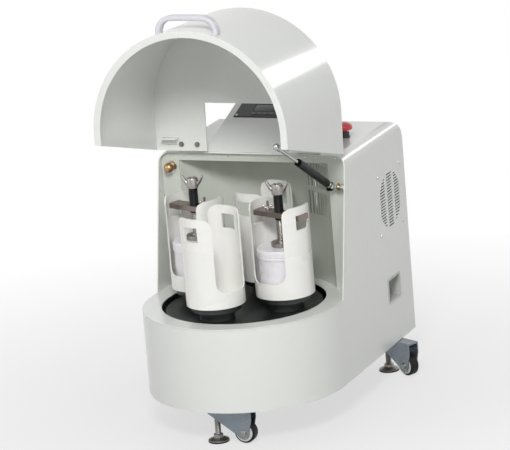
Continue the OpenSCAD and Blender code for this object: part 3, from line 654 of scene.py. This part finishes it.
class MILL_OT_housing(MillStep, bpy.types.Operator):
    """Paints cabinet, deck and chamber, and adds their fasteners"""

    bl_idname = "mill.housing"
    bl_label = "Housing"

    def execute(self, context):
        # The cabinet's enamel carries painted shade, near black, behind the louvres and the fan.
        cabinet = look_for(
            "cabinet_enamel", sheet_paint, tuple(self.colours.housing), primed=True
        )
        # Painted shade: the chamber liner gets a darker, greener copy of the enamel for the shade
        # inside the chamber.
        inside = look_for("chamber_enamel", sheet_paint, tuple(self.colours.inside), 0.12, 0.4)
        pocket = look_for("pocket_plastic", moulded, (0.55, 0.56, 0.53))
        edge = self.sizes.sheet_edge
        softened("housing", cabinet, edge)
        softened("deck_plate", self.enamel(), edge)
        softened("chamber_liner", inside, edge * 0.7)
        softened("rear_panel", self.enamel(), edge * 0.6)
        softened("mains_pocket", pocket, 0.0004)
        self.fan_screws()
        self.rear_screws()
        self.frame_screws()
        self.brass_parts()
        return {"FINISHED"}

    def fan_screws(self):
        """Four screws round the fan's ring of openings."""
        centre = Vector((0.235, 0.361 + TURNTABLE_Y, 0.432))
        offset = 0.071
        shapes = []
        for up in (-offset, offset):
            for along in (-offset, offset):
                place = facing((1, 0, 0), centre + Vector((0, along, up)))
                shapes.append(placed(screw_head(0.0042, 0.0022), place))
        add_piece("fan_screws", joined(*shapes), "cabinet", self.plated())

    def rear_screws(self):
        """Three screws down each side of the rear panel."""
        back = 0.467 + TURNTABLE_Y
        shapes = []
        for across in (-0.154, 0.154):
            for up in (0.166, 0.335, 0.504):
                place = facing((0, 1, 0), Vector((across, back, up)))
                shapes.append(placed(screw_head(0.0036, 0.0012), place))
        add_piece("rear_panel_screws", joined(*shapes), "cabinet", self.plated())

    def frame_screws(self):
        """Rivets along the top of the chamber's frame, and the screw beside the spare stud."""
        low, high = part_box("chamber_liner")
        front = (0, -1, 0)
        shapes = []
        for across in (-0.208, -0.060, 0.060, 0.118, 0.131, 0.157, 0.208):
            place = facing(front, Vector((across, low.y, high.z - 0.008)))
            shapes.append(placed(screw_head(0.0026, 0.0012, False, 16), place))
        low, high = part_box("spare_stud")
        place = facing(front, Vector((low.x - 0.002, high.y, low.z + 0.002)))
        shapes.append(placed(screw_head(0.0036, 0.0020), place))
        add_piece("frame_screws", joined(*shapes), "cabinet", self.plated())

    def brass_parts(self):
        """Pins of the mains inlet, and the spare stud with its washer."""
        brass = look_for("yellow_brass", brushed, (0.48, 0.31, 0.16), 0.24)
        inlet = Vector((0.2150, 0.2133, 0.219))
        shapes = []
        for across, up in ((-0.006, -0.004), (0.006, -0.004), (0, 0.005)):
            centre = inlet + Vector((0, across, up))
            shapes.append(block((0.0080, 0.0016, 0.0048), centre, 0.0004))
        add_piece("inlet_pins", joined(*shapes), "cabinet", brass)
        finish_node("spare_stud", brass)
        low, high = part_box("spare_stud")
        washer = lathe([(0.009, 0), (0.0145, 0), (0.0145, 0.0016), (0.009, 0.0016)], 40)
        centre = Vector(((low.x + high.x) / 2, high.y, (low.z + high.z) / 2))
        washer = placed(washer, facing((0, -1, 0), centre))
        add_piece("stud_washer", washer, "cabinet", self.plated())


class MILL_OT_hood(MillStep, bpy.types.Operator):
    """Paints the hood and adds its handle and hinge bolts"""

    bl_idname = "mill.hood"
    bl_label = "Hood"

    def execute(self, context):
        plastic = look_for(
            "handle_plastic", moulded, tuple(self.colours.handle), 0.36, 700, 0.08, 0.2
        )
        softened("lid_shell", self.enamel(), self.sizes.sheet_edge)
        handle = add_piece("hood_handle", self.arch(), "hood", plastic, 50)
        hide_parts("lid_handle")
        for node in ("hinge_leaves", "lid_hinge_leaves"):
            softened(node, self.plated(), 0.0003)
        self.hinge_bolts()
        self.switch_tab()
        return {"FINISHED"}

    @staticmethod
    def arch():
        """Rounded bar of the handle, with its two feet let into the hood's wall."""
        half = [(69.5, -223), (68.5, -234), (64, -245.5), (54, -254.5), (38, -259.5), (0, -260)]
        points = [(-x, y) for x, y in half] + [(x, y) for x, y in reversed(half[:-1])]
        handle_z = 0.3097
        path = [opened((x * MM, y * MM + TURNTABLE_Y, handle_z)) for x, y in points]
        across = (opened((0, 0, 1)) - opened((0, 0, 0))).normalized()
        return swept(curved(path), round_outline(0.0125, 0.0235, 0.0052, 6), across)

    @staticmethod
    def hinge_bolts():
        """Washer, nut and bolt end for each of the four bolts through the hood's sheet."""
        dark = look_for("bolt_steel", brushed, (0.30, 0.27, 0.24), 0.38)
        hinges, spacing = (-0.148, 0.148), (-0.020, 0.020)
        bolts = []
        for side in hinges:
            for across in spacing:
                under = Vector((side + across, HINGE.y - 0.015, 0.601))
                place = opened(under)
                out = opened(under + Vector((0, 0, -1))) - place
                washer = lathe([(0.0022, 0), (0.0065, 0), (0.0065, 0.0012), (0.0022, 0.0012)], 28)
                nut = lathe([(0, 0.0012), (0.0048, 0.0012), (0.0048, 0.0045), (0, 0.0045)], 6)
                end = lathe([(0, 0.0045), (0.002, 0.0045), (0.002, 0.0065), (0, 0.0065)], 16)
                bolt = joined(washer, bevelled(nut, 0.0004), end)
                bolts.append(placed(bolt, facing(out, place)))
        add_piece("hood_hinge_bolts", joined(*bolts), "hood", dark)

    def switch_tab(self):
        """Folded tab inside the hood that works the switch when the hood is shut."""
        tab = joined(
            block((0.040, 0.003, 0.022), (0, 0, 0), 0.0008),
            block((0.040, 0.016, 0.003), (0, 0.0075, 0.0095), 0.0008),
        )
        shut = Matrix.Translation((-0.193, HINGE.y - 0.030, 0.590))
        add_piece("switch_tab", placed(tab, opening() @ shut), "hood", self.enamel())


class MILL_OT_turntable(MillStep, bpy.types.Operator):
    """Gives the turntable and the planet seats their black finish"""

    bl_idname = "mill.turntable"
    bl_label = "Turntable"

    def execute(self, context):
        colour = tuple(self.colours.disc)
        disc = look_for("turned_black", turned, colour, (0, TURNTABLE_Y, 0))
        softened("turntable_disc", disc, 0.0008)
        seat = look_for("black_seat", brushed, shade(colour, 1.2), 0.42, metallic=0.5, depth=0.05)
        for k in STATION_TURN:
            softened(f"spindle_{k}", seat, 0.0006)
        return {"FINISHED"}


class MILL_OT_holders(MillStep, bpy.types.Operator):
    """Rounds and paints the four jar holders, and finishes the two jars"""

    bl_idname = "mill.holders"
    bl_label = "Jar holders"

    def execute(self, context):
        paint = look_for("holder_enamel", sheet_paint, tuple(self.colours.holder), 0.04, 0.28)
        polymer = look_for("jar_polymer", moulded, tuple(self.colours.jar), 0.3, 500, 0.05, 0.2)
        for k in STATION_TURN:
            softened(f"holder_{k}", paint, self.sizes.holder_edge, 3)
        for k in CLAMPED:
            softened(f"jar_{k}", polymer, 0.0015, 3)
            softened(f"jar_lid_{k}", polymer, 0.0018, 3)
        return {"FINISHED"}


class MILL_OT_clamps(MillStep, bpy.types.Operator):
    """Makes the clamping screws with their wing nuts, and the bars with their lock nuts"""

    bl_idname = "mill.clamps"
    bl_label = "Clamps"

    def execute(self, context):
        bar = look_for(
            "clamp_bar_steel",
            brushed,
            tuple(self.colours.clamp),
            0.36,
            metallic=0.85,
            stain=(0.20, 0.165, 0.14),
            depth=0.15,
        )
        wing = look_for(
            "wing_nut_steel", brushed, tuple(self.colours.wing), 0.3, stain=(0.24, 0.19, 0.16)
        )
        thread = look_for("black_thread", brushed, (0.018, 0.018, 0.02), 0.38, metallic=0.6)
        bright = look_for("bright_plating", brushed, (0.72, 0.71, 0.69), 0.16, depth=0.04)
        for k in CLAMPED:
            softened(f"clamp_bar_{k}", bar, 0.0012, 2)
            self.lock_nut(k, bright)
            self.clamp(k, wing, thread)
        return {"FINISHED"}

    def clamp(self, k, wing, thread):
        """Screw through the bar, with its wing nut above and its pressing foot below."""
        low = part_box(f"clamp_screw_{k}")[0].z
        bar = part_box(f"clamp_bar_{k}")[0].z
        nut = bar + BAR_THICKNESS + WING_RISE
        pitch = self.sizes.thread_pitch
        matrix = station(k, HOLDER_TURN)
        body = f"clamp_{k}"
        shape = placed(threaded(0.0108, bar - 0.006, nut + 0.0005, pitch, 0.0011), matrix)
        screw = add_piece(f"clamp_thread_{k}", shape, body, thread, 50)
        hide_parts(f"clamp_screw_{k}")
        hub = [
            (0, 0), (0.0125, 0), (0.0138, 0.0012), (0.0128, 0.0215), (0.0118, 0.0236),
            (0.0088, 0.0240), (0.0075, 0.0222), (0, 0.0222),
        ]
        shapes = [lathe(raised(hub, nut))]
        for side in (WING_TURN, WING_TURN + 180):
            shapes.append(placed(self.ear(nut), Matrix.Rotation(math.radians(side), 4, "Z")))
        shape = placed(joined(*shapes), matrix)
        add_piece(f"wing_nut_{k}", shape, body, wing, 40)
        shaft = threaded(0.0085, low + 0.013, bar - 0.0055, pitch, 0.0009)
        foot = [
            (0, 0), (0.0230, 0), (0.0240, 0.0010), (0.0240, 0.0090), (0.0230, 0.0100),
            (0.0122, 0.0106), (0.0115, 0.0138), (0, 0.0140),
        ]
        shape = placed(joined(lathe(raised(foot, low)), shaft), matrix)
        add_piece(f"pressing_foot_{k}", shape, body, wing)

    def lock_nut(self, k, bright):
        """Small wing nut with ball-ended ears, and the stud of the bar on which it sits."""
        low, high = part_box(f"lock_nut_{k}")
        turn = math.radians(STATION_TURN[k] + HOLDER_TURN + WING_TURN)
        place = Matrix.Translation(((low.x + high.x) / 2, (low.y + high.y) / 2, low.z))
        place = place @ Matrix.Rotation(turn, 4, "Z")
        hub = [(0.0034, 0), (0.0058, 0), (0.0060, 0.0006), (0.0050, 0.0078), (0.0034, 0.0082)]
        shapes = [lathe(hub, 28)]
        for side in (-1, 1):
            points = [(3.8, 3.0), (6.2, 5.0), (8.8, 8.2)]
            path = curved([Vector((side * x * MM, 0, z * MM)) for x, z in points], 3)
            outline = round_outline(0.0030, 0.0032, 0.0014)
            shapes.append(swept(path, outline, Vector((0, 1, 0))))
            centre = Matrix.Translation((side * 0.0094, 0, 0.0088))
            shapes.append(placed(self.ball(0.0027), centre))
        shape = placed(joined(*shapes), place)
        nut = add_piece(f"lock_nut_wings_{k}", shape, f"lock_{k}", bright, 50)
        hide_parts(f"lock_nut_{k}")
        stud = placed(threaded(0.0030, -0.0005, 0.0150, 0.0012, 0.0004, 24), place)
        add_piece(f"lock_stud_{k}", stud, f"planet_{k}", bright, 50)

    @staticmethod
    def ball(radius, rows=8):
        """Ball about (0, 0, 0), made of rings of points."""
        turns = [math.pi * row / rows for row in range(1, rows)]
        profile = [(radius * math.sin(turn), -radius * math.cos(turn)) for turn in turns]
        return lathe([(0, -radius), *profile, (0, radius)], 20)

    @staticmethod
    def ear(base):
        """Finger of a wing nut: out of the hub, bending up, with a round tip."""
        points = [(7, 7), (12.5, 10), (17.5, 15.5), (21.5, 21.5), (24.8, 26.5), (26.8, 29.8)]
        path = curved([Vector((x * MM, 0, base + z * MM)) for x, z in points], 4)
        sizes = [1.3 - 0.6 * step / len(path) for step in range(len(path) - 3)]
        sizes += [sizes[-1] * 0.92, sizes[-1] * 0.72, sizes[-1] * 0.3]
        return swept(path, round_outline(0.0078, 0.0078, 0.0036), Vector((0, 1, 0)), sizes)


class MILL_OT_strut(MillStep, bpy.types.Operator):
    """Finishes the gas strut, its studs and its end fittings"""

    bl_idname = "mill.strut"
    bl_label = "Gas strut"

    def execute(self, context):
        dark = (0.005, 0.005, 0.006)
        black = look_for("strut_enamel", moulded, dark, 0.32, 300, 0.03, 0.0, 0.12)
        chrome = look_for("chrome", brushed, (0.50, 0.50, 0.51), 0.14, depth=0.02)
        white = look_for("plated_stud", brushed, (0.78, 0.78, 0.75), 0.28, depth=0.05)
        softened("strut_cylinder", black, 0.0008)
        softened("strut_rod", chrome, 0.0004)
        softened("cabinet_strut_stud", white, 0.0004)
        softened("lid_strut_stud", chrome, 0.0004)
        self.fittings(chrome)
        return {"FINISHED"}

    @staticmethod
    def fittings(chrome):
        """Crimped ferrule at the tube's lower end, and a yellow washer behind the stud."""
        ferrule = [
            (0.0052, 0.0135), (0.0074, 0.0140), (0.0078, 0.0155), (0.0070, 0.0185),
            (0.0082, 0.0205), (0.0084, 0.0282), (0.0076, 0.0292), (0.0052, 0.0292),
        ]
        shape = placed(lathe(ferrule), facing(STRUT_HIGH - STRUT_LOW, STRUT_LOW))
        add_piece("strut_ferrule", shape, "strut_tube", chrome)
        yellow = look_for("yellow_plating", brushed, (0.62, 0.47, 0.22), 0.2, depth=0.04)
        washer = [
            (0.0042, 0), (0.0088, 0), (0.0092, 0.0004), (0.0092, 0.0012), (0.0088, 0.0016),
            (0.0042, 0.0016),
        ]
        shape = joined(lathe(washer, 32), hex_head(0.0072, 0.0052))
        place = facing((-1, 0, 0), Vector((0.2180, STRUT_LOW.y, STRUT_LOW.z)))
        add_piece("stud_nut", placed(shape, place), "cabinet", yellow)


class MILL_OT_console(MillStep, bpy.types.Operator):
    """Finishes the console, its black drive unit, the knob and the emergency stop"""

    bl_idname = "mill.console"
    bl_label = "Console"

    def execute(self, context):
        black = look_for("panel_black", moulded, (0.010, 0.010, 0.011), 0.34, 800, 0.08, 0.0, 0.3)
        knob = look_for("knob_plastic", moulded, (0.05, 0.05, 0.055), 0.4)
        red = look_for("stop_red", moulded, tuple(self.colours.stop), 0.28, 500, 0.03, 0.4)
        collar = look_for("stop_black", moulded, (0.02, 0.02, 0.02), 0.3)
        softened("console", self.enamel(), 0.0025, 3)
        softened("drive_unit", black, 0.0008)
        softened("speed_knob", knob, 0.0008)
        softened("estop_collar", collar, 0.0008)
        softened("estop_button", red, 0.0015, 3)
        self.panel_details()
        return {"FINISHED"}

    def panel_details(self):
        """The display's glass, the blank keys, the unit's screws and the knob's pointer."""
        black = (0.008, 0.010, 0.011)
        key_size = (0.0115, 0.0080, 0.0016)
        glass = look_for("display_glass", moulded, black, 0.08, 200, 0.01, 0.0, 0.4)
        rubber = look_for("key_rubber", moulded, (0.10, 0.10, 0.105), 0.5)
        mark = look_for("pointer_white", moulded, (0.75, 0.75, 0.72), 0.4)
        window = rounded_block((0.0690, 0.0270, 0.0006), 0.002, 0.0002)
        window = placed(window, face_matrix(-0.024, 0.001, 0.001))
        add_piece("display_window", window, "cabinet", glass)
        places = [(-0.0530 + step * 0.0150, -0.0255) for step in range(5)]
        places += [(across, 0.0250) for across in (0.040, 0.060, 0.080)]
        keys = []
        for across, along in places:
            key = rounded_block(key_size, 0.0018, 0.0004)
            keys.append(placed(key, face_matrix(across, along, 0.0019)))
        add_piece("panel_keys", joined(*keys), "cabinet", rubber)
        screws = []
        for across in (-0.094, 0.094):
            for along in (-0.032, 0.032):
                screw = screw_head(0.0026, 0.0014)
                screws.append(placed(screw, face_matrix(across, along, 0.0020)))
        add_piece("panel_screws", joined(*screws), "cabinet", self.plated())
        line = rounded_block((0.0012, 0.0085, 0.0008), 0.0005)
        line = placed(line, face_matrix(0.060, 0.0055, 0.0161))
        add_piece("knob_pointer", line, "knob", mark)


class MILL_OT_casters(MillStep, bpy.types.Operator):
    """Finishes the levelling casters: forks, wheels and threaded feet"""

    bl_idname = "mill.casters"
    bl_label = "Casters"

    def execute(self, context):
        enamel = look_for(
            "caster_enamel",
            brushed,
            tuple(self.colours.caster),
            0.24,
            metallic=0.75,
            stain=(0.12, 0.12, 0.12),
            depth=0.1,
        )
        tyre = look_for("tyre_rubber", moulded, (0.012, 0.012, 0.013), 0.5, 350, 0.2, 0.0, 0.2)
        core = look_for("wheel_core", moulded, (0.62, 0.62, 0.60), 0.4, 500, 0.05)
        foot = look_for("foot_steel", brushed, (0.34, 0.33, 0.31), 0.4, stain=(0.2, 0.17, 0.14))
        softened("caster_plates", foot, 0.0006)
        for i in (1, 2, 3):
            softened(f"caster_fork_{i}", enamel, 0.0009)
            softened(f"caster_wheel_{i}", tyre, 0.0016, 3)
            softened(f"foot_{i}", foot, 0.0006)
            self.core(i, core)
            self.fasteners(i, foot, tyre)
        return {"FINISHED"}

    @staticmethod
    def wheel(i):
        """The wheel's centre, the way it rolls and the way its axle points."""
        low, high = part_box(f"caster_wheel_{i}")
        turn = math.radians(CASTER_TURN[i])
        along = Vector((math.cos(turn), math.sin(turn), 0))
        return (low + high) / 2, along, Vector((-along.y, along.x, 0))

    def fasteners(self, i, steel, rubber):
        """Nuts on the axle, and the foot's rubber rim and threaded stem."""
        hub, along, across = self.wheel(i)
        shapes = []
        for out in (-across, across):
            nut = hex_head(0.0066, 0.0042, 0.0078)
            shapes.append(placed(nut, facing(out, hub + out * 0.0161)))
        add_piece(f"axle_nuts_{i}", joined(*shapes), f"fork_{i}", steel)
        swivel = hub - along * WHEEL_REACH
        place = Matrix.Translation((swivel.x, swivel.y, 0))
        rim = [
            (0.0205, 0), (0.0243, 0), (0.0246, 0.0012), (0.0243, 0.0036), (0.0236, 0.0041),
            (0.0205, 0.0041),
        ]
        add_piece(f"foot_rubber_{i}", placed(lathe(rim), place), f"foot_{i}", rubber)
        stem = placed(threaded(0.0069, 0.018, 0.062, 0.0022, 0.0007, 28), place)
        add_piece(f"foot_thread_{i}", stem, f"foot_{i}", steel)

    def core(self, i, material):
        """Hub cover on both sides of the wheel."""
        hub, _, across = self.wheel(i)
        cover = [
            (0.0046, 0), (0.0168, 0), (0.0168, 0.0027), (0.0200, 0.0029), (0.0203, 0.0033),
            (0.0198, 0.0036), (0.0170, 0.0036), (0.0158, 0.0020), (0.0095, 0.0020),
            (0.0085, 0.0034), (0.0046, 0.0034),
        ]
        shapes = []
        for out in (-across, across):
            shapes.append(placed(lathe(cover, 40), facing(out, hub + out * 0.0092)))
        add_piece(f"wheel_core_{i}", joined(*shapes), f"wheel_{i}", material)


class MILL_OT_drive(MillStep, bpy.types.Operator):
    """Gives the drive under the turntable, the fan and the plates their metals and rubbers"""

    bl_idname = "mill.drive"
    bl_label = "Drive"

    def execute(self, context):
        primer = look_for("grey_primer", sheet_paint, (0.10, 0.105, 0.11), 0.1, 0.5)
        steel = look_for("turned_steel", brushed, (0.45, 0.45, 0.44), 0.3)
        alloy = look_for("turned_alloy", brushed, (0.62, 0.63, 0.64), 0.3)
        rubber = look_for("belt_rubber", moulded, (0.02, 0.02, 0.02), 0.6, 400, 0.2)
        fan = look_for("fan_plastic", moulded, (0.03, 0.03, 0.03), 0.45)
        for node in ("base_plate", "support_plate", "motor"):
            finish_node(node, primer)
        for node in ("column", "main_shaft", "planet_bearings"):
            finish_node(node, steel)
        for node in ("sun_pulley", "motor_pulley"):
            finish_node(node, alloy)
        for node in ("drive_belt", "planet_belts"):
            finish_node(node, rubber)
        for node in ("fan_frame", "fan_rotor"):
            finish_node(node, fan)
        return {"FINISHED"}


class MILL_OT_stage(MillStep, bpy.types.Operator):
    """Sets up the floor, the lights and the camera"""

    bl_idname = "mill.stage"
    bl_label = "Stage"

    def execute(self, context):
        self.floor()
        self.world()
        self.light("key", (1.5, -4.0, 3.9), 1.5, 180)
        self.light("fill", (3.8, -3.0, 1.8), 2.4, 18)
        self.light("left", (-3.8, -3.0, 2.2), 2.4, 28)
        self.light("back", (1.9, 4.4, 2.2), 1.0, 12)
        self.camera()
        bpy.context.scene.view_settings.view_transform = "Standard"
        return {"FINISHED"}

    def floor(self):
        """Pale floor that the camera and the reflections see as almost white."""
        look = Look("stage_floor", Roughness=0.6)
        pale = look.blend(look.noise(2.0), (0.60, 0.60, 0.595), (0.63, 0.63, 0.625))
        look.set("Base Color", pale)
        values = {0: look.place()}
        reach = look.add("ShaderNodeVectorMath", {"operation": "LENGTH"}, values).out("Value")
        rays = look.add("ShaderNodeLightPath")
        seen = rays.out("Is Camera Ray") + rays.out("Is Glossy Ray")
        seen = seen + rays.out("Is Transmission Ray")
        white = look.add("ShaderNodeEmission", None, {"Color": (1, 1, 1), "Strength": 1.0})
        share = seen.clamped() * (reach.span(0.4, 1.5) * 0.35 + 0.65)
        values = {0: share, 1: Wire(look, look.shader.outputs[0]), 2: white.out(0)}
        mixed = look.add("ShaderNodeMixShader", None, values)
        surface = look.tree.nodes["Material Output"].inputs["Surface"]
        look.tree.links.new(mixed.node.outputs[0], surface)
        shape = bmesh.new()
        bmesh.ops.create_grid(shape, x_segments=1, y_segments=1, size=30)
        mesh = finished(shape, "floor")
        mesh.materials.append(look.material)
        piece = bpy.data.objects.new("floor", mesh)
        bpy.context.scene.collection.objects.link(piece)

    def world(self):
        """White surroundings, a quarter as bright for the light that they give off."""
        world = bpy.data.worlds.new("studio")
        bpy.context.scene.world = world
        world.use_nodes = True
        tree = world.node_tree
        background = tree.nodes["Background"]
        background.inputs["Color"].default_value = (1, 1, 1, 1)
        rays = tree.nodes.new("ShaderNodeLightPath")
        socket = rays.outputs["Is Camera Ray"]
        for name in ("Is Glossy Ray", "Is Transmission Ray"):
            either = tree.nodes.new("ShaderNodeMath")
            either.operation = "MAXIMUM"
            tree.links.new(socket, either.inputs[0])
            tree.links.new(rays.outputs[name], either.inputs[1])
            socket = either.outputs[0]
        seen = tree.nodes.new("ShaderNodeMath")
        seen.operation = "MULTIPLY_ADD"
        seen.inputs[1].default_value = 0.75
        seen.inputs[2].default_value = 0.25
        tree.links.new(socket, seen.inputs[0])
        tree.links.new(seen.outputs[0], background.inputs["Strength"])

    def light(self, name, place, size, power):
        """Round lamp that points at LAMP_AIM."""
        data = bpy.data.lights.new(name, "AREA")
        data.shape = "DISK"
        data.size = size
        data.energy = power
        lamp = bpy.data.objects.new(name, data)
        lamp.location = place
        lamp.rotation_euler = (LAMP_AIM - Vector(place)).to_track_quat("-Z", "Y").to_euler()
        bpy.context.scene.collection.objects.link(lamp)

    def camera(self):
        """Camera of the photograph: its place, its tilt and its framing in the picture."""
        azimuth, height, roll = (math.radians(angle) for angle in CAMERA_ANGLES)
        focal = self.sizes.lens / SENSOR_WIDTH * PICTURE_WIDTH
        middle = Vector(PICTURE_SHIFT)
        level = math.cos(height)
        back = Vector((math.sin(azimuth) * level, -math.cos(azimuth) * level, math.sin(height)))
        right = Vector((math.cos(azimuth), math.sin(azimuth), 0))
        up = back.cross(right)
        place = CAMERA_AIM + back * self.sizes.camera_distance
        across = math.cos(roll) * middle.x + math.sin(roll) * middle.y
        upward = -math.sin(roll) * middle.x + math.cos(roll) * middle.y
        aim = (-back + right * across / focal + up * upward / focal).normalized()
        top = math.sin(roll) * right + math.cos(roll) * up
        side = aim.cross(top).normalized()
        top = side.cross(aim)
        data = bpy.data.cameras.new("camera")
        data.sensor_width = SENSOR_WIDTH
        data.lens = self.sizes.lens
        data.clip_end = 100
        camera = bpy.data.objects.new("camera", data)
        turn = Matrix((side, top, -aim)).transposed().to_4x4()
        camera.matrix_world = Matrix.Translation(place) @ turn
        bpy.context.scene.collection.objects.link(camera)
        bpy.context.scene.camera = camera


STEPS = (
    MILL_OT_housing,
    MILL_OT_hood,
    MILL_OT_turntable,
    MILL_OT_holders,
    MILL_OT_clamps,
    MILL_OT_strut,
    MILL_OT_console,
    MILL_OT_casters,
    MILL_OT_drive,
    MILL_OT_stage,
)


class MILL_PT_panel(bpy.types.Panel):
    """Lists the steps that finish the mill, with its colours and sizes"""

    bl_idname = "MILL_PT_panel"
    bl_label = "Planetary ball mill"
    bl_space_type = "VIEW_3D"
    bl_region_type = "UI"
    bl_category = "Mill"

    def draw(self, context):
        for step in STEPS:
            self.layout.operator(step.bl_idname)
        for group in (context.scene.mill_colours, context.scene.mill_sizes):
            box = self.layout.box()
            for key in group.__annotations__:
                box.prop(group, key)


CLASSES = (MillColours, MillSizes, *STEPS, MILL_PT_panel)


def register():
    for item in CLASSES:
        bpy.utils.register_class(item)
    bpy.types.Scene.mill_colours = PointerProperty(type=MillColours)
    bpy.types.Scene.mill_sizes = PointerProperty(type=MillSizes)


def unregister():
    del bpy.types.Scene.mill_sizes
    del bpy.types.Scene.mill_colours
    for item in reversed(CLASSES):
        bpy.utils.unregister_class(item)


def main():
    register()
    for step in STEPS:
        group, name = step.bl_idname.split(".")
        if getattr(getattr(bpy.ops, group), name)() != {"FINISHED"}:
            raise RuntimeError(f"{step.bl_label} did not finish")


if __name__ == "__main__":
    main()
